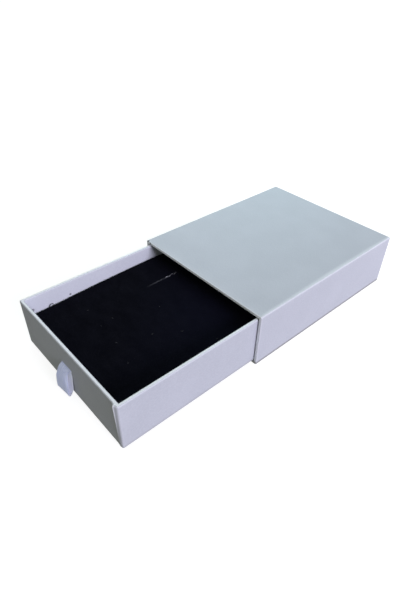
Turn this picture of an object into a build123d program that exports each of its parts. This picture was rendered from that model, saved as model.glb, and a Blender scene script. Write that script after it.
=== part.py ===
"""Slide-out jewelry gift box: a wrapped board sleeve, a wrapped drawer, a velvet pad and a ribbon pull.

Millimetres. The origin is the centre of the sleeve's base, +Z is up, and the drawer pulls out along -Y.
The drawer stands part-way out, which is the rest pose of every joint.
"""

from build123d import *
import os

os.makedirs("parts", exist_ok=True)

# Driving dimensions of the box
SLEEVE_WIDTH = 80.0
SLEEVE_LENGTH = 100.0
SLEEVE_HEIGHT = 28.0
DRAWER_WIDTH = 76.4
DRAWER_LENGTH = 98.0
DRAWER_HEIGHT = 24.4
DRAWER_PULLED_OUT = 70.0
SLIDE_GAP = 0.1  # between the sleeve's floor lining and the drawer's underside

# Stock
BOARD = 1.2
PAPER = 0.12
TAPE = 0.06
SKIN = PAPER + TAPE  # from the outside of the wrap to the outside of the board
WALL = SKIN + BOARD + PAPER
FOLD_RADIUS = 0.6  # outside of the wrap where it rounds a board edge
TURN_IN = 12.0  # wrap folded into the sleeve's mouth
BASE_MARGIN = 1.0  # strip of wrap left showing round the sheet glued under the sleeve
TAPE_LEG = 8.0
TAPE_END_GAP = 1.0  # a tape stops short of the mouth
CORNER_TAPE_HEIGHT = 20.0

# Ribbon pull
RIBBON_WIDTH = 7.5
RIBBON_THICKNESS = 0.3
PLIES = 2 * RIBBON_THICKNESS
EXIT_ABOVE_BASE = 13.7  # the slot's middle, above the drawer's underside
SLOT_WIDTH = 8.1
SLOT_HEIGHT = 0.9
LOOP_BULGE = 3.15  # front ply, out from the drawer's face
LOOP_DROP = 12.4
LOOP_CLEAR = 0.45  # ends of the loop, out from the drawer's face
TAIL_DROP = 11.0
ANCHOR_WIDTH = 11.0
ANCHOR_HEIGHT = 7.0

# Pad
PAD_GAP = 0.3
PAD_BELOW_RIM = 7.3
VELVET = 0.5
SLIT_WIDTH = 0.4
SLIT_LENGTH = 16.6
SLIT_X = -17.8
SLIT_FROM_FRONT = 54.5
SLIT_DEPTH = 9.0
NOTCH_WIDTH = 13.0
NOTCH_DEPTH = 0.8

# Corner flap of the drawer's wrap, measured from where the corner's rounding ends
FLAP_TOP_WIDTH = 1.8
FLAP_BOTTOM_WIDTH = 0.3

# Places worked out from the sizes above
MOUTH_Y = -SLEEVE_LENGTH / 2
BACK_Y = SLEEVE_LENGTH / 2
DRAWER_FRONT_Y = MOUTH_Y - DRAWER_PULLED_OUT
DRAWER_BACK_Y = DRAWER_FRONT_Y + DRAWER_LENGTH
DRAWER_BASE_Z = WALL + SLIDE_GAP
RIM_Z = DRAWER_BASE_Z + DRAWER_HEIGHT
BOARD_RADIUS = FOLD_RADIUS - SKIN


def block(x, y, z, mode=Mode.ADD):
    """Adds or cuts a box given by its (low, high) limits on each axis."""
    with BuildSketch(Plane.XY.offset(z[0])) as outline:
        with Locations(((x[0] + x[1]) / 2, (y[0] + y[1]) / 2)):
            Rectangle(x[1] - x[0], y[1] - y[0])
    extrude(outline.sketch, amount=z[1] - z[0], mode=mode)


def span(half_width):
    """Limits of a width centred on the box."""
    return (-half_width, half_width)


def inset(limits, amount):
    """Limits of a box drawn in by an amount on every side."""
    return tuple((low + amount, high - amount) for low, high in limits)


def folded_tape(plane, corner, leg_signs, length):
    """A tape folded round a board edge, its middle line turning at the corner from one leg to the other."""
    with BuildSketch(plane) as strip:
        with BuildLine():
            FilletPolyline(
                (corner[0] + leg_signs[0] * TAPE_LEG, corner[1]),
                corner,
                (corner[0], corner[1] + leg_signs[1] * TAPE_LEG),
                radius=BOARD_RADIUS + TAPE / 2,
            )
        trace(line_width=TAPE)
    extrude(strip.sketch, amount=length)


def finish_piece(builder, name):
    """Labels a piece and writes its file."""
    builder.part.label = name
    export_step(builder.part, f"parts/{name}.step")


# ---------------------------------------------------------------- sleeve boards
SLEEVE_LIMITS = (span(SLEEVE_WIDTH / 2), (MOUTH_Y, BACK_Y), (0.0, SLEEVE_HEIGHT))
BOARD_X = SLEEVE_WIDTH / 2 - SKIN
BOARD_Y = (MOUTH_Y + PAPER, BACK_Y - SKIN)
BOTTOM_BOARD_Z = (SKIN, SKIN + BOARD)
TOP_BOARD_Z = (SLEEVE_HEIGHT - SKIN - BOARD, SLEEVE_HEIGHT - SKIN)
SIDE_BOARD_Z = (BOTTOM_BOARD_Z[1], TOP_BOARD_Z[0])

for name, board_z, outer in (
    ("sleeve_bottom_board", BOTTOM_BOARD_Z, 0),
    ("sleeve_top_board", TOP_BOARD_Z, -1),
):
    with BuildPart() as flat_board:
        block(span(BOARD_X), BOARD_Y, board_z)
        outer_face = flat_board.faces().sort_by(Axis.Z)[outer]
        back_edge = outer_face.edges().filter_by(Axis.X).sort_by(Axis.Y)[-1:]
        back_corners = flat_board.edges().filter_by(Axis.Z).group_by(Axis.Y)[-1]
        fillet(outer_face.edges().filter_by(Axis.Y) + back_edge + back_corners, BOARD_RADIUS)
    finish_piece(flat_board, name)

for name, side, outer in (
    ("sleeve_left_board", -1, 0),
    ("sleeve_right_board", 1, -1),
):
    with BuildPart() as side_board:
        block(sorted((side * (BOARD_X - BOARD), side * BOARD_X)), BOARD_Y, SIDE_BOARD_Z)
        outer_edges = side_board.faces().sort_by(Axis.X)[outer].edges()
        fillet(outer_edges.filter_by(Axis.Z).sort_by(Axis.Y)[-1], BOARD_RADIUS)
    finish_piece(side_board, name)

with BuildPart() as sleeve_back_board:
    block(span(BOARD_X - BOARD), (BOARD_Y[1] - BOARD, BOARD_Y[1]), SIDE_BOARD_Z)
finish_piece(sleeve_back_board, "sleeve_back_board")

# Stay tapes: a folded strip along each long edge, between the boards and the wrap
with BuildPart() as sleeve_edge_tapes:
    tape_length = SLEEVE_LENGTH - TAPE_LEG
    tape_back_y = BOARD_Y[0] + TAPE_END_GAP + tape_length
    tape_corner = SLEEVE_HEIGHT / 2 - PAPER - TAPE / 2
    for side in (-1, 1):
        for level in (-1, 1):
            corner = (side * (BOARD_X + TAPE / 2), SLEEVE_HEIGHT / 2 + level * tape_corner)
            folded_tape(Plane.XZ.offset(-tape_back_y), corner, (-side, -level), tape_length)
finish_piece(sleeve_edge_tapes, "sleeve_edge_tapes")

# ---------------------------------------------------------------- sleeve papers
MOUTH_X = SLEEVE_WIDTH / 2 - WALL
MOUTH_Z = (WALL, SLEEVE_HEIGHT - WALL)
BARE_Z = (MOUTH_Z[0] - PAPER, MOUTH_Z[1] + PAPER)
TURN_END_Y = MOUTH_Y + TURN_IN
LINING_BACK_Y = BOARD_Y[1] - BOARD
BASE_SHEET = (
    span(SLEEVE_WIDTH / 2 - BASE_MARGIN),
    (MOUTH_Y + BASE_MARGIN, BACK_Y - BASE_MARGIN),
    (0.0, PAPER),
)


def sleeve_case(limits, radius, mode=Mode.ADD):
    """The sleeve's outside, rounded on its lengthways edges and all round its closed back."""
    with BuildSketch(Plane.XZ.offset(-limits[1][1])) as cross_section:
        with Locations((0, SLEEVE_HEIGHT / 2)):
            RectangleRounded(limits[0][1] - limits[0][0], limits[2][1] - limits[2][0], radius)
    solid = Solid.extrude(cross_section.sketch.face(), Vector(0, limits[1][0] - limits[1][1], 0))
    back_edges = solid.faces().sort_by(Axis.Y)[-1].edges()
    add(solid.fillet(radius, back_edges), mode=mode)


with BuildPart() as sleeve_wrap_paper:
    sleeve_case(SLEEVE_LIMITS, FOLD_RADIUS)
    sleeve_case(inset(SLEEVE_LIMITS, PAPER), FOLD_RADIUS - PAPER, mode=Mode.SUBTRACT)
    block(span(MOUTH_X + PAPER), (MOUTH_Y, TURN_END_Y), BARE_Z)
    block(span(MOUTH_X), (MOUTH_Y, TURN_END_Y), MOUTH_Z, mode=Mode.SUBTRACT)
    block(*BASE_SHEET, mode=Mode.SUBTRACT)
finish_piece(sleeve_wrap_paper, "sleeve_wrap_paper")

with BuildPart() as sleeve_base_paper:
    block(*BASE_SHEET)
finish_piece(sleeve_base_paper, "sleeve_base_paper")

with BuildPart() as sleeve_lining_paper:
    block(span(MOUTH_X + PAPER), (TURN_END_Y, LINING_BACK_Y), BARE_Z)
    block(span(MOUTH_X), (TURN_END_Y, LINING_BACK_Y - PAPER), MOUTH_Z, mode=Mode.SUBTRACT)
finish_piece(sleeve_lining_paper, "sleeve_lining_paper")

# ---------------------------------------------------------------- drawer boards
DRAWER_LIMITS = (span(DRAWER_WIDTH / 2), (DRAWER_FRONT_Y, DRAWER_BACK_Y), (DRAWER_BASE_Z, RIM_Z))
PANEL_X = DRAWER_WIDTH / 2 - SKIN
PANEL_Y = (DRAWER_FRONT_Y + SKIN, DRAWER_BACK_Y - SKIN)
FLOOR_Z = (DRAWER_BASE_Z + SKIN, DRAWER_BASE_Z + SKIN + BOARD)
PANEL_Z = (FLOOR_Z[1], RIM_Z - PAPER)
TRAY_X = PANEL_X - BOARD - PAPER
TRAY_Y = (DRAWER_FRONT_Y + WALL, DRAWER_BACK_Y - WALL)
TRAY_FLOOR_Z = FLOOR_Z[1] + PAPER
EXIT_Z = DRAWER_BASE_Z + EXIT_ABOVE_BASE
SLOT = (
    span(SLOT_WIDTH / 2),
    (DRAWER_FRONT_Y - WALL, TRAY_Y[0] + WALL),
    (EXIT_Z - SLOT_HEIGHT / 2, EXIT_Z + SLOT_HEIGHT / 2),
)

with BuildPart() as drawer_floor_board:
    block(span(PANEL_X), PANEL_Y, FLOOR_Z)
    underside = drawer_floor_board.faces().sort_by(Axis.Z)[0].edges()
    fillet(underside + drawer_floor_board.edges().filter_by(Axis.Z), BOARD_RADIUS)
finish_piece(drawer_floor_board, "drawer_floor_board")

with BuildPart() as drawer_front_board:
    block(span(PANEL_X), (PANEL_Y[0], PANEL_Y[0] + BOARD), PANEL_Z)
    fillet(drawer_front_board.edges().filter_by(Axis.Z).group_by(Axis.Y)[0], BOARD_RADIUS)
    block(*SLOT, mode=Mode.SUBTRACT)
finish_piece(drawer_front_board, "drawer_front_board")

with BuildPart() as drawer_back_board:
    block(span(PANEL_X), (PANEL_Y[1] - BOARD, PANEL_Y[1]), PANEL_Z)
    fillet(drawer_back_board.edges().filter_by(Axis.Z).group_by(Axis.Y)[-1], BOARD_RADIUS)
finish_piece(drawer_back_board, "drawer_back_board")

for name, side in (("drawer_left_board", -1), ("drawer_right_board", 1)):
    with BuildPart() as side_panel:
        panel_x = sorted((side * (PANEL_X - BOARD), side * PANEL_X))
        block(panel_x, (PANEL_Y[0] + BOARD, PANEL_Y[1] - BOARD), PANEL_Z)
    finish_piece(side_panel, name)

# Stay tapes: a folded strip up each corner, between the boards and the wrap
with BuildPart() as drawer_corner_tapes:
    tape_plane = Plane.XY.offset(FLOOR_Z[1])
    for side in (-1, 1):
        for corner_y, inward in ((PANEL_Y[0] - TAPE / 2, 1), (PANEL_Y[1] + TAPE / 2, -1)):
            corner = (side * (PANEL_X + TAPE / 2), corner_y)
            folded_tape(tape_plane, corner, (-side, inward), CORNER_TAPE_HEIGHT)
finish_piece(drawer_corner_tapes, "drawer_corner_tapes")

# ---------------------------------------------------------------- drawer papers
BARE_TRAY = (span(TRAY_X + PAPER), (TRAY_Y[0] - PAPER, TRAY_Y[1] + PAPER))
FLOOR_SHEET = (*BARE_TRAY, (FLOOR_Z[1], TRAY_FLOOR_Z))


with BuildPart() as drawer_boards_space:
    (low_x, high_x), (low_y, high_y), (low_z, _) = inset(DRAWER_LIMITS, PAPER)
    block((low_x, high_x), (low_y, high_y), (low_z, RIM_Z - PAPER))
    underside = drawer_boards_space.faces().sort_by(Axis.Z)[0].edges()
    fillet(underside + drawer_boards_space.edges().filter_by(Axis.Z), FOLD_RADIUS - PAPER)
    block(*BARE_TRAY, PANEL_Z, mode=Mode.SUBTRACT)

with BuildPart() as drawer_wrap_paper:
    block(*DRAWER_LIMITS)
    underside = drawer_wrap_paper.faces().sort_by(Axis.Z)[0].edges()
    fillet(underside + drawer_wrap_paper.edges().filter_by(Axis.Z), FOLD_RADIUS)
    block(span(TRAY_X), TRAY_Y, (TRAY_FLOOR_Z, RIM_Z), mode=Mode.SUBTRACT)
    add(drawer_boards_space.part, mode=Mode.SUBTRACT)
    block(*FLOOR_SHEET, mode=Mode.SUBTRACT)
    block(*SLOT, mode=Mode.SUBTRACT)
    with BuildSketch(Plane.XZ.offset(-DRAWER_FRONT_Y)) as flap:
        with BuildLine():
            flap_right = DRAWER_WIDTH / 2 - FOLD_RADIUS
            flap_low = DRAWER_BASE_Z + FOLD_RADIUS
            Polyline(
                (flap_right, RIM_Z),
                (flap_right - FLAP_TOP_WIDTH, RIM_Z),
                (flap_right - FLAP_BOTTOM_WIDTH, flap_low),
                (flap_right, flap_low),
                close=True,
            )
        make_face()
    extrude(flap.sketch, amount=PAPER)
finish_piece(drawer_wrap_paper, "drawer_wrap_paper")

with BuildPart() as drawer_lining_paper:
    block(*FLOOR_SHEET)
finish_piece(drawer_lining_paper, "drawer_lining_paper")

# ---------------------------------------------------------------- ribbon pull
TAIL_X = RIBBON_WIDTH / 2
TAIL_FACE_Y = TRAY_Y[0] + PLIES  # inner side of the two plies lying down the front panel

with BuildPart() as ribbon_tails:
    block(span(TAIL_X), (DRAWER_FRONT_Y, TAIL_FACE_Y), (EXIT_Z - PLIES / 2, EXIT_Z + PLIES / 2))
    block(span(TAIL_X), (TRAY_Y[0], TAIL_FACE_Y), (EXIT_Z - TAIL_DROP, EXIT_Z))
finish_piece(ribbon_tails, "ribbon_tails")

# Paper patch glued over the tails, stepping up over their thickness
with BuildPart() as ribbon_anchor_tape:
    with BuildSketch(Plane.XY.offset(EXIT_Z - (TAIL_DROP + ANCHOR_HEIGHT) / 2)) as patch:
        with Locations((0, TRAY_Y[0] + PAPER / 2)):
            Rectangle(ANCHOR_WIDTH, PAPER)
        with Locations((0, TRAY_Y[0] + (PLIES + PAPER) / 2)):
            Rectangle(RIBBON_WIDTH + 2 * PAPER, PLIES + PAPER)
        with Locations((0, TRAY_Y[0] + PLIES / 2)):
            Rectangle(RIBBON_WIDTH, PLIES, mode=Mode.SUBTRACT)
    extrude(patch.sketch, amount=ANCHOR_HEIGHT)
finish_piece(ribbon_anchor_tape, "ribbon_anchor_tape")

# The loop seen along X: out of the slot, down, tightly round the bottom, and back up behind
with BuildPart() as ribbon_loop:
    front_y = DRAWER_FRONT_Y - LOOP_BULGE
    start = (DRAWER_FRONT_Y - LOOP_CLEAR, EXIT_Z)
    with BuildSketch(Plane.YZ.offset(-RIBBON_WIDTH / 2)) as band:
        with BuildLine():
            loop_line = Spline(
                start,
                (DRAWER_FRONT_Y - 0.62 * LOOP_BULGE, EXIT_Z - 0.2 * LOOP_DROP),
                (front_y, EXIT_Z - 0.66 * LOOP_DROP),
                (front_y + 0.5, EXIT_Z - LOOP_DROP),
                (DRAWER_FRONT_Y - 0.42 * LOOP_BULGE, EXIT_Z - 0.86 * LOOP_DROP),
                (DRAWER_FRONT_Y - 0.22 * LOOP_BULGE, EXIT_Z - 0.5 * LOOP_DROP),
                (start[0], EXIT_Z - PLIES),
                tangents=((-1.0, -0.25), (0.2, 1.0)),
            )
        trace(line_width=RIBBON_THICKNESS)
    extrude(band.sketch, amount=RIBBON_WIDTH)
finish_piece(ribbon_loop, "ribbon_loop")
print("ribbon loop length", round(loop_line.length, 1))

# ---------------------------------------------------------------- pad
PAD_X = TRAY_X - PAD_GAP
PAD_Y = (TRAY_Y[0] + PAD_GAP, TRAY_Y[1] - PAD_GAP)
PAD_TOP_Z = RIM_Z - PAD_BELOW_RIM
FOAM_Z = (TRAY_FLOOR_Z + SLIDE_GAP, PAD_TOP_Z - VELVET)
SLIT = (
    (SLIT_X - SLIT_WIDTH / 2, SLIT_X + SLIT_WIDTH / 2),
    (DRAWER_FRONT_Y + SLIT_FROM_FRONT, DRAWER_FRONT_Y + SLIT_FROM_FRONT + SLIT_LENGTH),
    (PAD_TOP_Z - SLIT_DEPTH, PAD_TOP_Z),
)

with BuildPart() as pad_foam:
    block(span(PAD_X), PAD_Y, FOAM_Z)
    block(span(NOTCH_WIDTH / 2), (PAD_Y[0], PAD_Y[0] + NOTCH_DEPTH), FOAM_Z, mode=Mode.SUBTRACT)
    block(*SLIT, mode=Mode.SUBTRACT)
finish_piece(pad_foam, "pad_foam")

with BuildPart() as pad_velvet:
    block(span(PAD_X), PAD_Y, (FOAM_Z[1], PAD_TOP_Z))
    block(*SLIT, mode=Mode.SUBTRACT)
finish_piece(pad_velvet, "pad_velvet")
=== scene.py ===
from math import copysign, cos, exp, pi, radians, sin

import bmesh
import bpy
from mathutils import Matrix, Vector, noise


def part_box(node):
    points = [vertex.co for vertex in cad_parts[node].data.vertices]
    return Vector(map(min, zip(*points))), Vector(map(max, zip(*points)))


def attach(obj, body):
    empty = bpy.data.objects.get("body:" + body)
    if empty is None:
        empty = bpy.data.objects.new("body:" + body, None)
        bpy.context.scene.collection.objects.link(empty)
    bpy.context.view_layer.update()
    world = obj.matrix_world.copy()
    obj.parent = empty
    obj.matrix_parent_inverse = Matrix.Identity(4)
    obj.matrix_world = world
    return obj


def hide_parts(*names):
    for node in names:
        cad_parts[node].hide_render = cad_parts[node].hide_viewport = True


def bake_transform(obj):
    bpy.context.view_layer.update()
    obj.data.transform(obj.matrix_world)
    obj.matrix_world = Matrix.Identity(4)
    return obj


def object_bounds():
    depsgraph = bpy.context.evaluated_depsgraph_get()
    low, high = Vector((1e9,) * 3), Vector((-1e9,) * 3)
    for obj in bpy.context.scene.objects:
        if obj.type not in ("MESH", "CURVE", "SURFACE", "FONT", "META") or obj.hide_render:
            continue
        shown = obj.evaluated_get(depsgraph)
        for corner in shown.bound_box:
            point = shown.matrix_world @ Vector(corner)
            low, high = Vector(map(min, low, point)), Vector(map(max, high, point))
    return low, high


# A pull-out jewelry gift box in pearl paper: an open sleeve, a tray drawer with a ribbon pull,
# and a loose velvet pad with a slit. Lengths are in millimetres, times MM where Blender takes
# metres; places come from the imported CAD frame.

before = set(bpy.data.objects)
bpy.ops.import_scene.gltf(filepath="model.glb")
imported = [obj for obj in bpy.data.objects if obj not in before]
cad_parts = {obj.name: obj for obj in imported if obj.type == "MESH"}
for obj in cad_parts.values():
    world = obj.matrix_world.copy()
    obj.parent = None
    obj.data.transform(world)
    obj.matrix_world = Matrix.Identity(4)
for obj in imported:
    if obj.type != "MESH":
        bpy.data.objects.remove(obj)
CAD_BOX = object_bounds()
MM = 0.001


def box_mm(node):
    """Lowest and highest corner of a CAD node, in millimetres."""
    low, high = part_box(node)
    return low / MM, high / MM


# ---- sizes and places
SLEEVE_LOW, SLEEVE_HIGH = box_mm("sleeve_wrap_paper")
DRAWER_LOW, DRAWER_HIGH = box_mm("drawer_wrap_paper")
BASE_LOW, BASE_HIGH = box_mm("sleeve_base_paper")
FOAM_LOW, FOAM_HIGH = box_mm("pad_foam")
TAILS_LOW, TAILS_HIGH = box_mm("ribbon_tails")
FRONT_BOARD_LOW, FRONT_BOARD_HIGH = box_mm("drawer_front_board")
LINING_LOW = box_mm("sleeve_lining_paper")[0]
TRAY_HIGH = box_mm("drawer_lining_paper")[1]
LOOP_HIGH = box_mm("ribbon_loop")[1]

WALL = 1.5  # board with its paper on both sides
PAPER = 0.11  # one sheet of the covering paper
SLEEVE_SWELL, DRAWER_SWELL = 0.05, 0.04  # height of the glued paper's waves
COVER_PITCH = 4.0
FRONT_SKIN = 0.18  # the cover and its glue, in front of the drawer's front board
FRONT_Y = FRONT_BOARD_LOW.y - FRONT_SKIN
DRAWER_LEAST = Vector((DRAWER_LOW.x, FRONT_Y, DRAWER_LOW.z))  # the low corner of its paper
RIM_RADIUS = 0.45  # paper folded over a board's edge
EDGE_RADIUS = 0.6  # outside corners of the covered boards
INNER_RADIUS = 0.2  # inside corners of the drawer
SHARP_RADIUS = 0.08  # inside corners of the sleeve
SUPPORT = 0.45  # spare edge loop beside each rounding
BESIDE_BEND = 0.35  # how far the paler fold, partly wear and partly a painted highlight, reaches beside each rounding
TURN_PALE = 0.22  # how pale the paper is where it turns over an edge: partly wear, partly a painted highlight
SLOT_HALF_WIDTH = 4.05
SLOT_HEIGHT = 0.9
SLOT_MIDDLE = (LOOP_HIGH.z + TAILS_HIGH.z) / 2 - 0.22
SLOT_LOW = SLOT_MIDDLE - SLOT_HEIGHT / 2
SLOT_HIGH = SLOT_MIDDLE + SLOT_HEIGHT / 2

# ---- material helpers


def plug(tree, node, inputs):
    """Gives a node its inputs: values, or the sockets to link from."""
    for key, value in inputs.items():
        if isinstance(value, bpy.types.NodeSocket):
            tree.links.new(value, node.inputs[key])
        else:
            node.inputs[key].default_value = value


def add(tree, kind, inputs=None, **settings):
    """Adds a node with its settings and inputs."""
    made = tree.nodes.new(kind)
    for key, value in settings.items():
        setattr(made, key, value)
    plug(tree, made, inputs or {})
    return made


def new_material(name, surface, *details):
    """A node material whose shader gets the inputs that surface(tree, *details) gives."""
    material = bpy.data.materials.new(name)
    material.use_nodes = True
    tree = material.node_tree
    plug(tree, tree.nodes["Principled BSDF"], surface(tree, *details))
    return material


def object_coords(tree):
    return add(tree, "ShaderNodeTexCoord").outputs["Object"]


def speckle(tree, coords, size, detail=2.0, rough=0.5, unit=MM):
    """Noise whose blotches are about size across, one number or three."""
    sizes = size if hasattr(size, "__len__") else (size, size, size)
    scale = tuple(1.0 / (s * unit) for s in sizes)
    placed = add(tree, "ShaderNodeMapping", {"Vector": coords, "Scale": scale})
    return add(tree, "ShaderNodeTexNoise", {
        "Vector": placed.outputs["Vector"], "Scale": 1.0, "Detail": detail, "Roughness": rough,
    }).outputs["Fac"]


def remap(tree, value, low, high, to_low=0.0, to_high=1.0):
    return add(tree, "ShaderNodeMapRange", {
        "Value": value, "From Min": low, "From Max": high, "To Min": to_low, "To Max": to_high,
    }).outputs["Result"]


def maths(tree, operation, first, second):
    return add(tree, "ShaderNodeMath", {0: first, 1: second}, operation=operation).outputs["Value"]


def product(tree, first, second):
    return maths(tree, "MULTIPLY", first, second)


def mix_colour(tree, factor, first, second):
    """first where factor is 0, second where it is 1."""
    ends = [c if isinstance(c, bpy.types.NodeSocket) else (*c, 1.0) for c in (first, second)]
    return add(tree, "ShaderNodeMix", {0: factor, 6: ends[0], 7: ends[1]}, data_type="RGBA").outputs[2]


def attribute(tree, name):
    return add(tree, "ShaderNodeAttribute", attribute_name=name).outputs["Fac"]


def parts_of(tree, vector):
    """The X, Y and Z outputs of a vector socket."""
    return add(tree, "ShaderNodeSeparateXYZ", {"Vector": vector}).outputs


def bump(tree, height, depth, strength=1.0, under=None):
    """A bump of depth millimetres on top of an earlier one."""
    inputs = {"Height": height, "Distance": depth * MM, "Strength": strength}
    if under is not None:
        inputs["Normal"] = under
    return add(tree, "ShaderNodeBump", inputs).outputs["Normal"]


def spot(tree, coords, centre, radius):
    """1 inside a small round mark at centre, in millimetres, and 0 outside it."""
    away = add(tree, "ShaderNodeVectorMath", {0: coords, 1: centre * MM}, operation="DISTANCE")
    return remap(tree, away.outputs["Value"], radius * MM, radius * 0.6 * MM)


# ---- materials
PEARL_DARK = (0.505, 0.521, 0.583)
PEARL_LIGHT = (0.530, 0.546, 0.610)
# pale tone of the fibres, and of the folds' painted highlight, which is partly wear
PEARL_PALE_AND_HIGHLIGHT = (0.940, 0.960, 1.000)
PEARL_SOIL = (0.16, 0.16, 0.18)
# painted contact shade at the foot, where the paper stands on the floor
PEARL_FOOT_SHADE = (0.26, 0.255, 0.26)
SLEEVE_MARKS = (  # the scuffs on its roof near the mouth: centre, radius, strength
    (Vector((-38.8, SLEEVE_LOW.y + 0.3, SLEEVE_HIGH.z)), 0.8, 0.9),
    (Vector((-36.9, SLEEVE_LOW.y + 0.1, SLEEVE_HIGH.z - 0.6)), 0.7, 0.8),
)
DRAWER_MARKS = (  # the scuffs on its inner wall at -X
    (Vector((DRAWER_LOW.x + WALL, -115.9, 19.0)), 0.95, 0.85),
    (Vector((DRAWER_LOW.x + WALL, -97.2, 18.7)), 0.65, 0.9),
)


def foot_contact_shade(tree, coords, foot, flakes, foot_shade_amount):
    """Painted contact shade where the paper stands: up to the given amount at height foot, where it turns
    under.
    """
    low = remap(tree, parts_of(tree, coords)["Z"], (foot + 1.9) * MM, (foot + 1.1) * MM)
    facing = add(tree, "ShaderNodeTexCoord").outputs["Normal"]
    low = product(tree, low, remap(tree, parts_of(tree, facing)["Z"], -0.95, -0.6))
    return product(tree, low, remap(tree, flakes, 0.3, 0.6, 0.6 * foot_shade_amount, foot_shade_amount))


def pearl_paper(tree, foot, foot_shade_amount, marks=()):
    """Coated paper with a pearl finish: faint clouding, fibres, paler folds that are partly wear and
    partly a painted highlight, marks, and a painted contact shade at height foot where it stands."""
    coords = object_coords(tree)
    clouds = remap(tree, speckle(tree, coords, 17.0, 3.0, 0.55), 0.36, 0.66)
    flakes = speckle(tree, coords, 0.55, 3.0, 0.65)
    fibres = speckle(tree, coords, (0.22, 0.9, 0.5), 2.0, 0.6)
    colour = mix_colour(tree, clouds, PEARL_DARK, PEARL_LIGHT)
    colour = mix_colour(tree, remap(tree, fibres, 0.35, 0.7, 0.0, 0.13), colour, PEARL_PALE_AND_HIGHLIGHT)
    # paler folds and rims: partly wear, partly a painted highlight
    wear_and_highlight = product(tree, attribute(tree, "fold"), remap(tree, flakes, 0.3, 0.6, 0.78, 1.0))
    colour = mix_colour(tree, wear_and_highlight, colour, PEARL_PALE_AND_HIGHLIGHT)
    # painted contact shade along the foot
    colour = mix_colour(tree, foot_contact_shade(tree, coords, foot, flakes, foot_shade_amount), colour, PEARL_FOOT_SHADE)
    for centre, radius, strength in marks:
        mark = product(tree, spot(tree, coords, centre, radius), strength)
        colour = mix_colour(tree, mark, colour, PEARL_SOIL)
    waves = bump(tree, speckle(tree, coords, 4.5), 0.05, 0.5)
    return {
        "Base Color": colour, "Roughness": remap(tree, flakes, 0.3, 0.7, 0.48, 0.60),
        "Normal": bump(tree, fibres, 0.02, 0.5, waves), "Specular IOR Level": 0.32}


def greyboard(tree):
    """Pressed recycled board: warm grey, with darker and paler fibres."""
    coords = object_coords(tree)
    fibres = speckle(tree, coords, (0.35, 1.1, 0.7), 4.0, 0.7)
    clouds = speckle(tree, coords, 6.0, 3.0, 0.6)
    colour = mix_colour(tree, remap(tree, fibres, 0.3, 0.7), (0.22, 0.20, 0.17), (0.40, 0.37, 0.32))
    colour = mix_colour(tree, remap(tree, clouds, 0.35, 0.65, 0.0, 0.4), colour, (0.30, 0.29, 0.27))
    return {
        "Base Color": colour, "Roughness": remap(tree, fibres, 0.3, 0.7, 0.80, 0.95),
        "Normal": bump(tree, fibres, 0.08, 0.7)}


def stay_tape(tree):
    """Gummed corner tape: buff paper with long fibres and a faint gloss."""
    fibres = speckle(tree, object_coords(tree), (0.3, 0.3, 3.0), 3.0, 0.65)
    colour = mix_colour(tree, remap(tree, fibres, 0.35, 0.65), (0.50, 0.40, 0.27), (0.64, 0.54, 0.39))
    return {
        "Base Color": colour, "Roughness": remap(tree, fibres, 0.3, 0.7, 0.55, 0.75),
        "Normal": bump(tree, fibres, 0.03, 0.5)}


RIBBON_DARK = (0.50, 0.55, 0.86)
RIBBON_LIGHT = (0.77, 0.815, 1.00)
RIBBON_DULL = (0.87, 0.89, 1.00)
DULL_SHIFT = 20.0  # added across the ribbon on its dull side, so the material can tell
WARP_PITCH = 0.16  # thread spacing across the ribbon
WEFT_PITCH = 0.24  # thread spacing along the ribbon


def thread_wave(tree, place, pitch, strength):
    """The ups and downs of threads that lie pitch apart along a coordinate."""
    return product(tree, maths(tree, "SINE", product(tree, place, 2.0 * pi / pitch), 0.0), strength)


def satin_ribbon(tree):
    """Satin ribbon: fine warp threads along it, crossed by weft, and a dull back."""
    along = add(tree, "ShaderNodeUVMap", uv_map="ribbon").outputs["UV"]
    across, length = parts_of(tree, along)["X"], parts_of(tree, along)["Y"]
    warp, weft = thread_wave(tree, across, WARP_PITCH, 0.35), thread_wave(tree, length, WEFT_PITCH, 0.15)
    weave = maths(tree, "ADD", maths(tree, "ADD", warp, weft), 0.5)
    slubs = speckle(tree, along, (1 / 2.2, 1 / 0.12, 1.0), 3.0, 0.6, unit=1.0)
    shade = maths(tree, "ADD", product(tree, weave, 0.35), product(tree, slubs, 0.65))
    colour = mix_colour(tree, remap(tree, shade, 0.36, 0.64), RIBBON_DARK, RIBBON_LIGHT)
    dull = remap(tree, across, DULL_SHIFT * 0.4, DULL_SHIFT * 0.6)
    return {
        "Base Color": mix_colour(tree, dull, colour, RIBBON_DULL),
        "Roughness": remap(tree, slubs, 0.3, 0.7, 0.36, 0.50),
        "Normal": bump(tree, weave, 0.03, 0.6),
        "Sheen Weight": 0.9, "Sheen Roughness": 0.5, "Sheen Tint": (0.72, 0.78, 1.0, 1.0),
        "Subsurface Weight": 0.5, "Subsurface Scale": 0.5 * MM, "Subsurface Radius": (1.0, 1.0, 1.1)}


def black_foam(tree):
    """Open-cell black foam: small dark pores with slightly paler walls."""
    coords = object_coords(tree)
    cells = add(tree, "ShaderNodeTexVoronoi", {"Vector": coords, "Scale": 1.0 / (0.55 * MM)})
    wall = remap(tree, cells.outputs["Distance"], 0.1, 0.7)
    return {
        "Base Color": mix_colour(tree, wall, (0.004, 0.004, 0.005), (0.022, 0.022, 0.026)),
        "Roughness": remap(tree, wall, 0.0, 1.0, 0.85, 0.95),
        "Normal": bump(tree, wall, 0.25, 0.8)}


VELVET_DEEP = (0.0016, 0.0017, 0.0038)
VELVET_NAP = (0.0052, 0.0053, 0.0092)
# the painted bluish sheen, lighter towards the sleeve's mouth and +X
VELVET_SHEEN_PAINT = (0.0068, 0.0072, 0.0180)
VELVET_CUT = (0.240, 0.240, 0.265)
SHEEN_FROM, SHEEN_TO = -95.0, -35.0  # X + Y in mm, where the painted bluish sheen starts and is full
SHEEN_MOST = 0.55


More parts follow.
